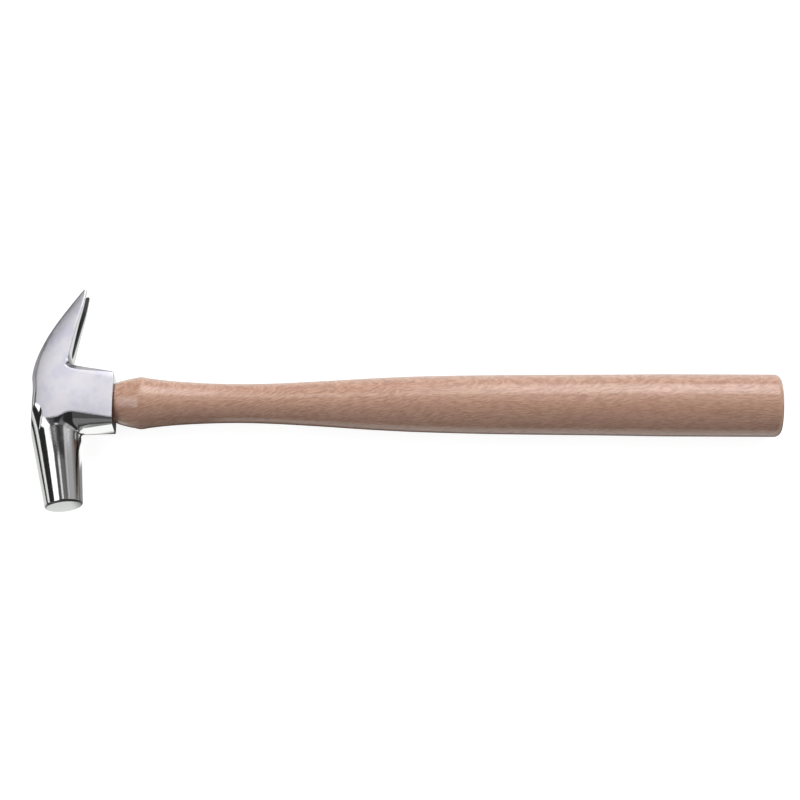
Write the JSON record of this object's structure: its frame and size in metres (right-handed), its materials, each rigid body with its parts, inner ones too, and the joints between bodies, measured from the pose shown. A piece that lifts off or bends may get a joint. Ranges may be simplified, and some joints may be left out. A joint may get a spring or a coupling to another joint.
{
  "type": "farrier's driving hammer",
  "caption": "Farrier's driving hammer: a forged steel head with a tapered poll and a slotted claw, wedged onto a turned beech handle.",
  "frame": {"origin": "centre of the handle's cylindrical grip, on the handle's axis", "axes": "+X along the handle towards the butt, +Y out of the claw (the striking face is towards -Y), +Z out of the cheek; the hammer lies on its side"},
  "size_m": [0.3284, 0.0997, 0.0274],
  "materials": {
    "head_steel": "satin cheeks, polished poll and claw",
    "beech": "satin clear lacquer over steamed beech",
    "wedge_wood": "bare end grain",
    "wedge_steel": "dark scale with bright worn edges"
  },
  "bodies": {
    "root": {"head": "head_steel", "handle": "beech", "wood_wedge": "wedge_wood", "steel_wedge_claw_side": "wedge_steel", "steel_wedge_face_side": "wedge_steel"}
  },
  "joints": []
}
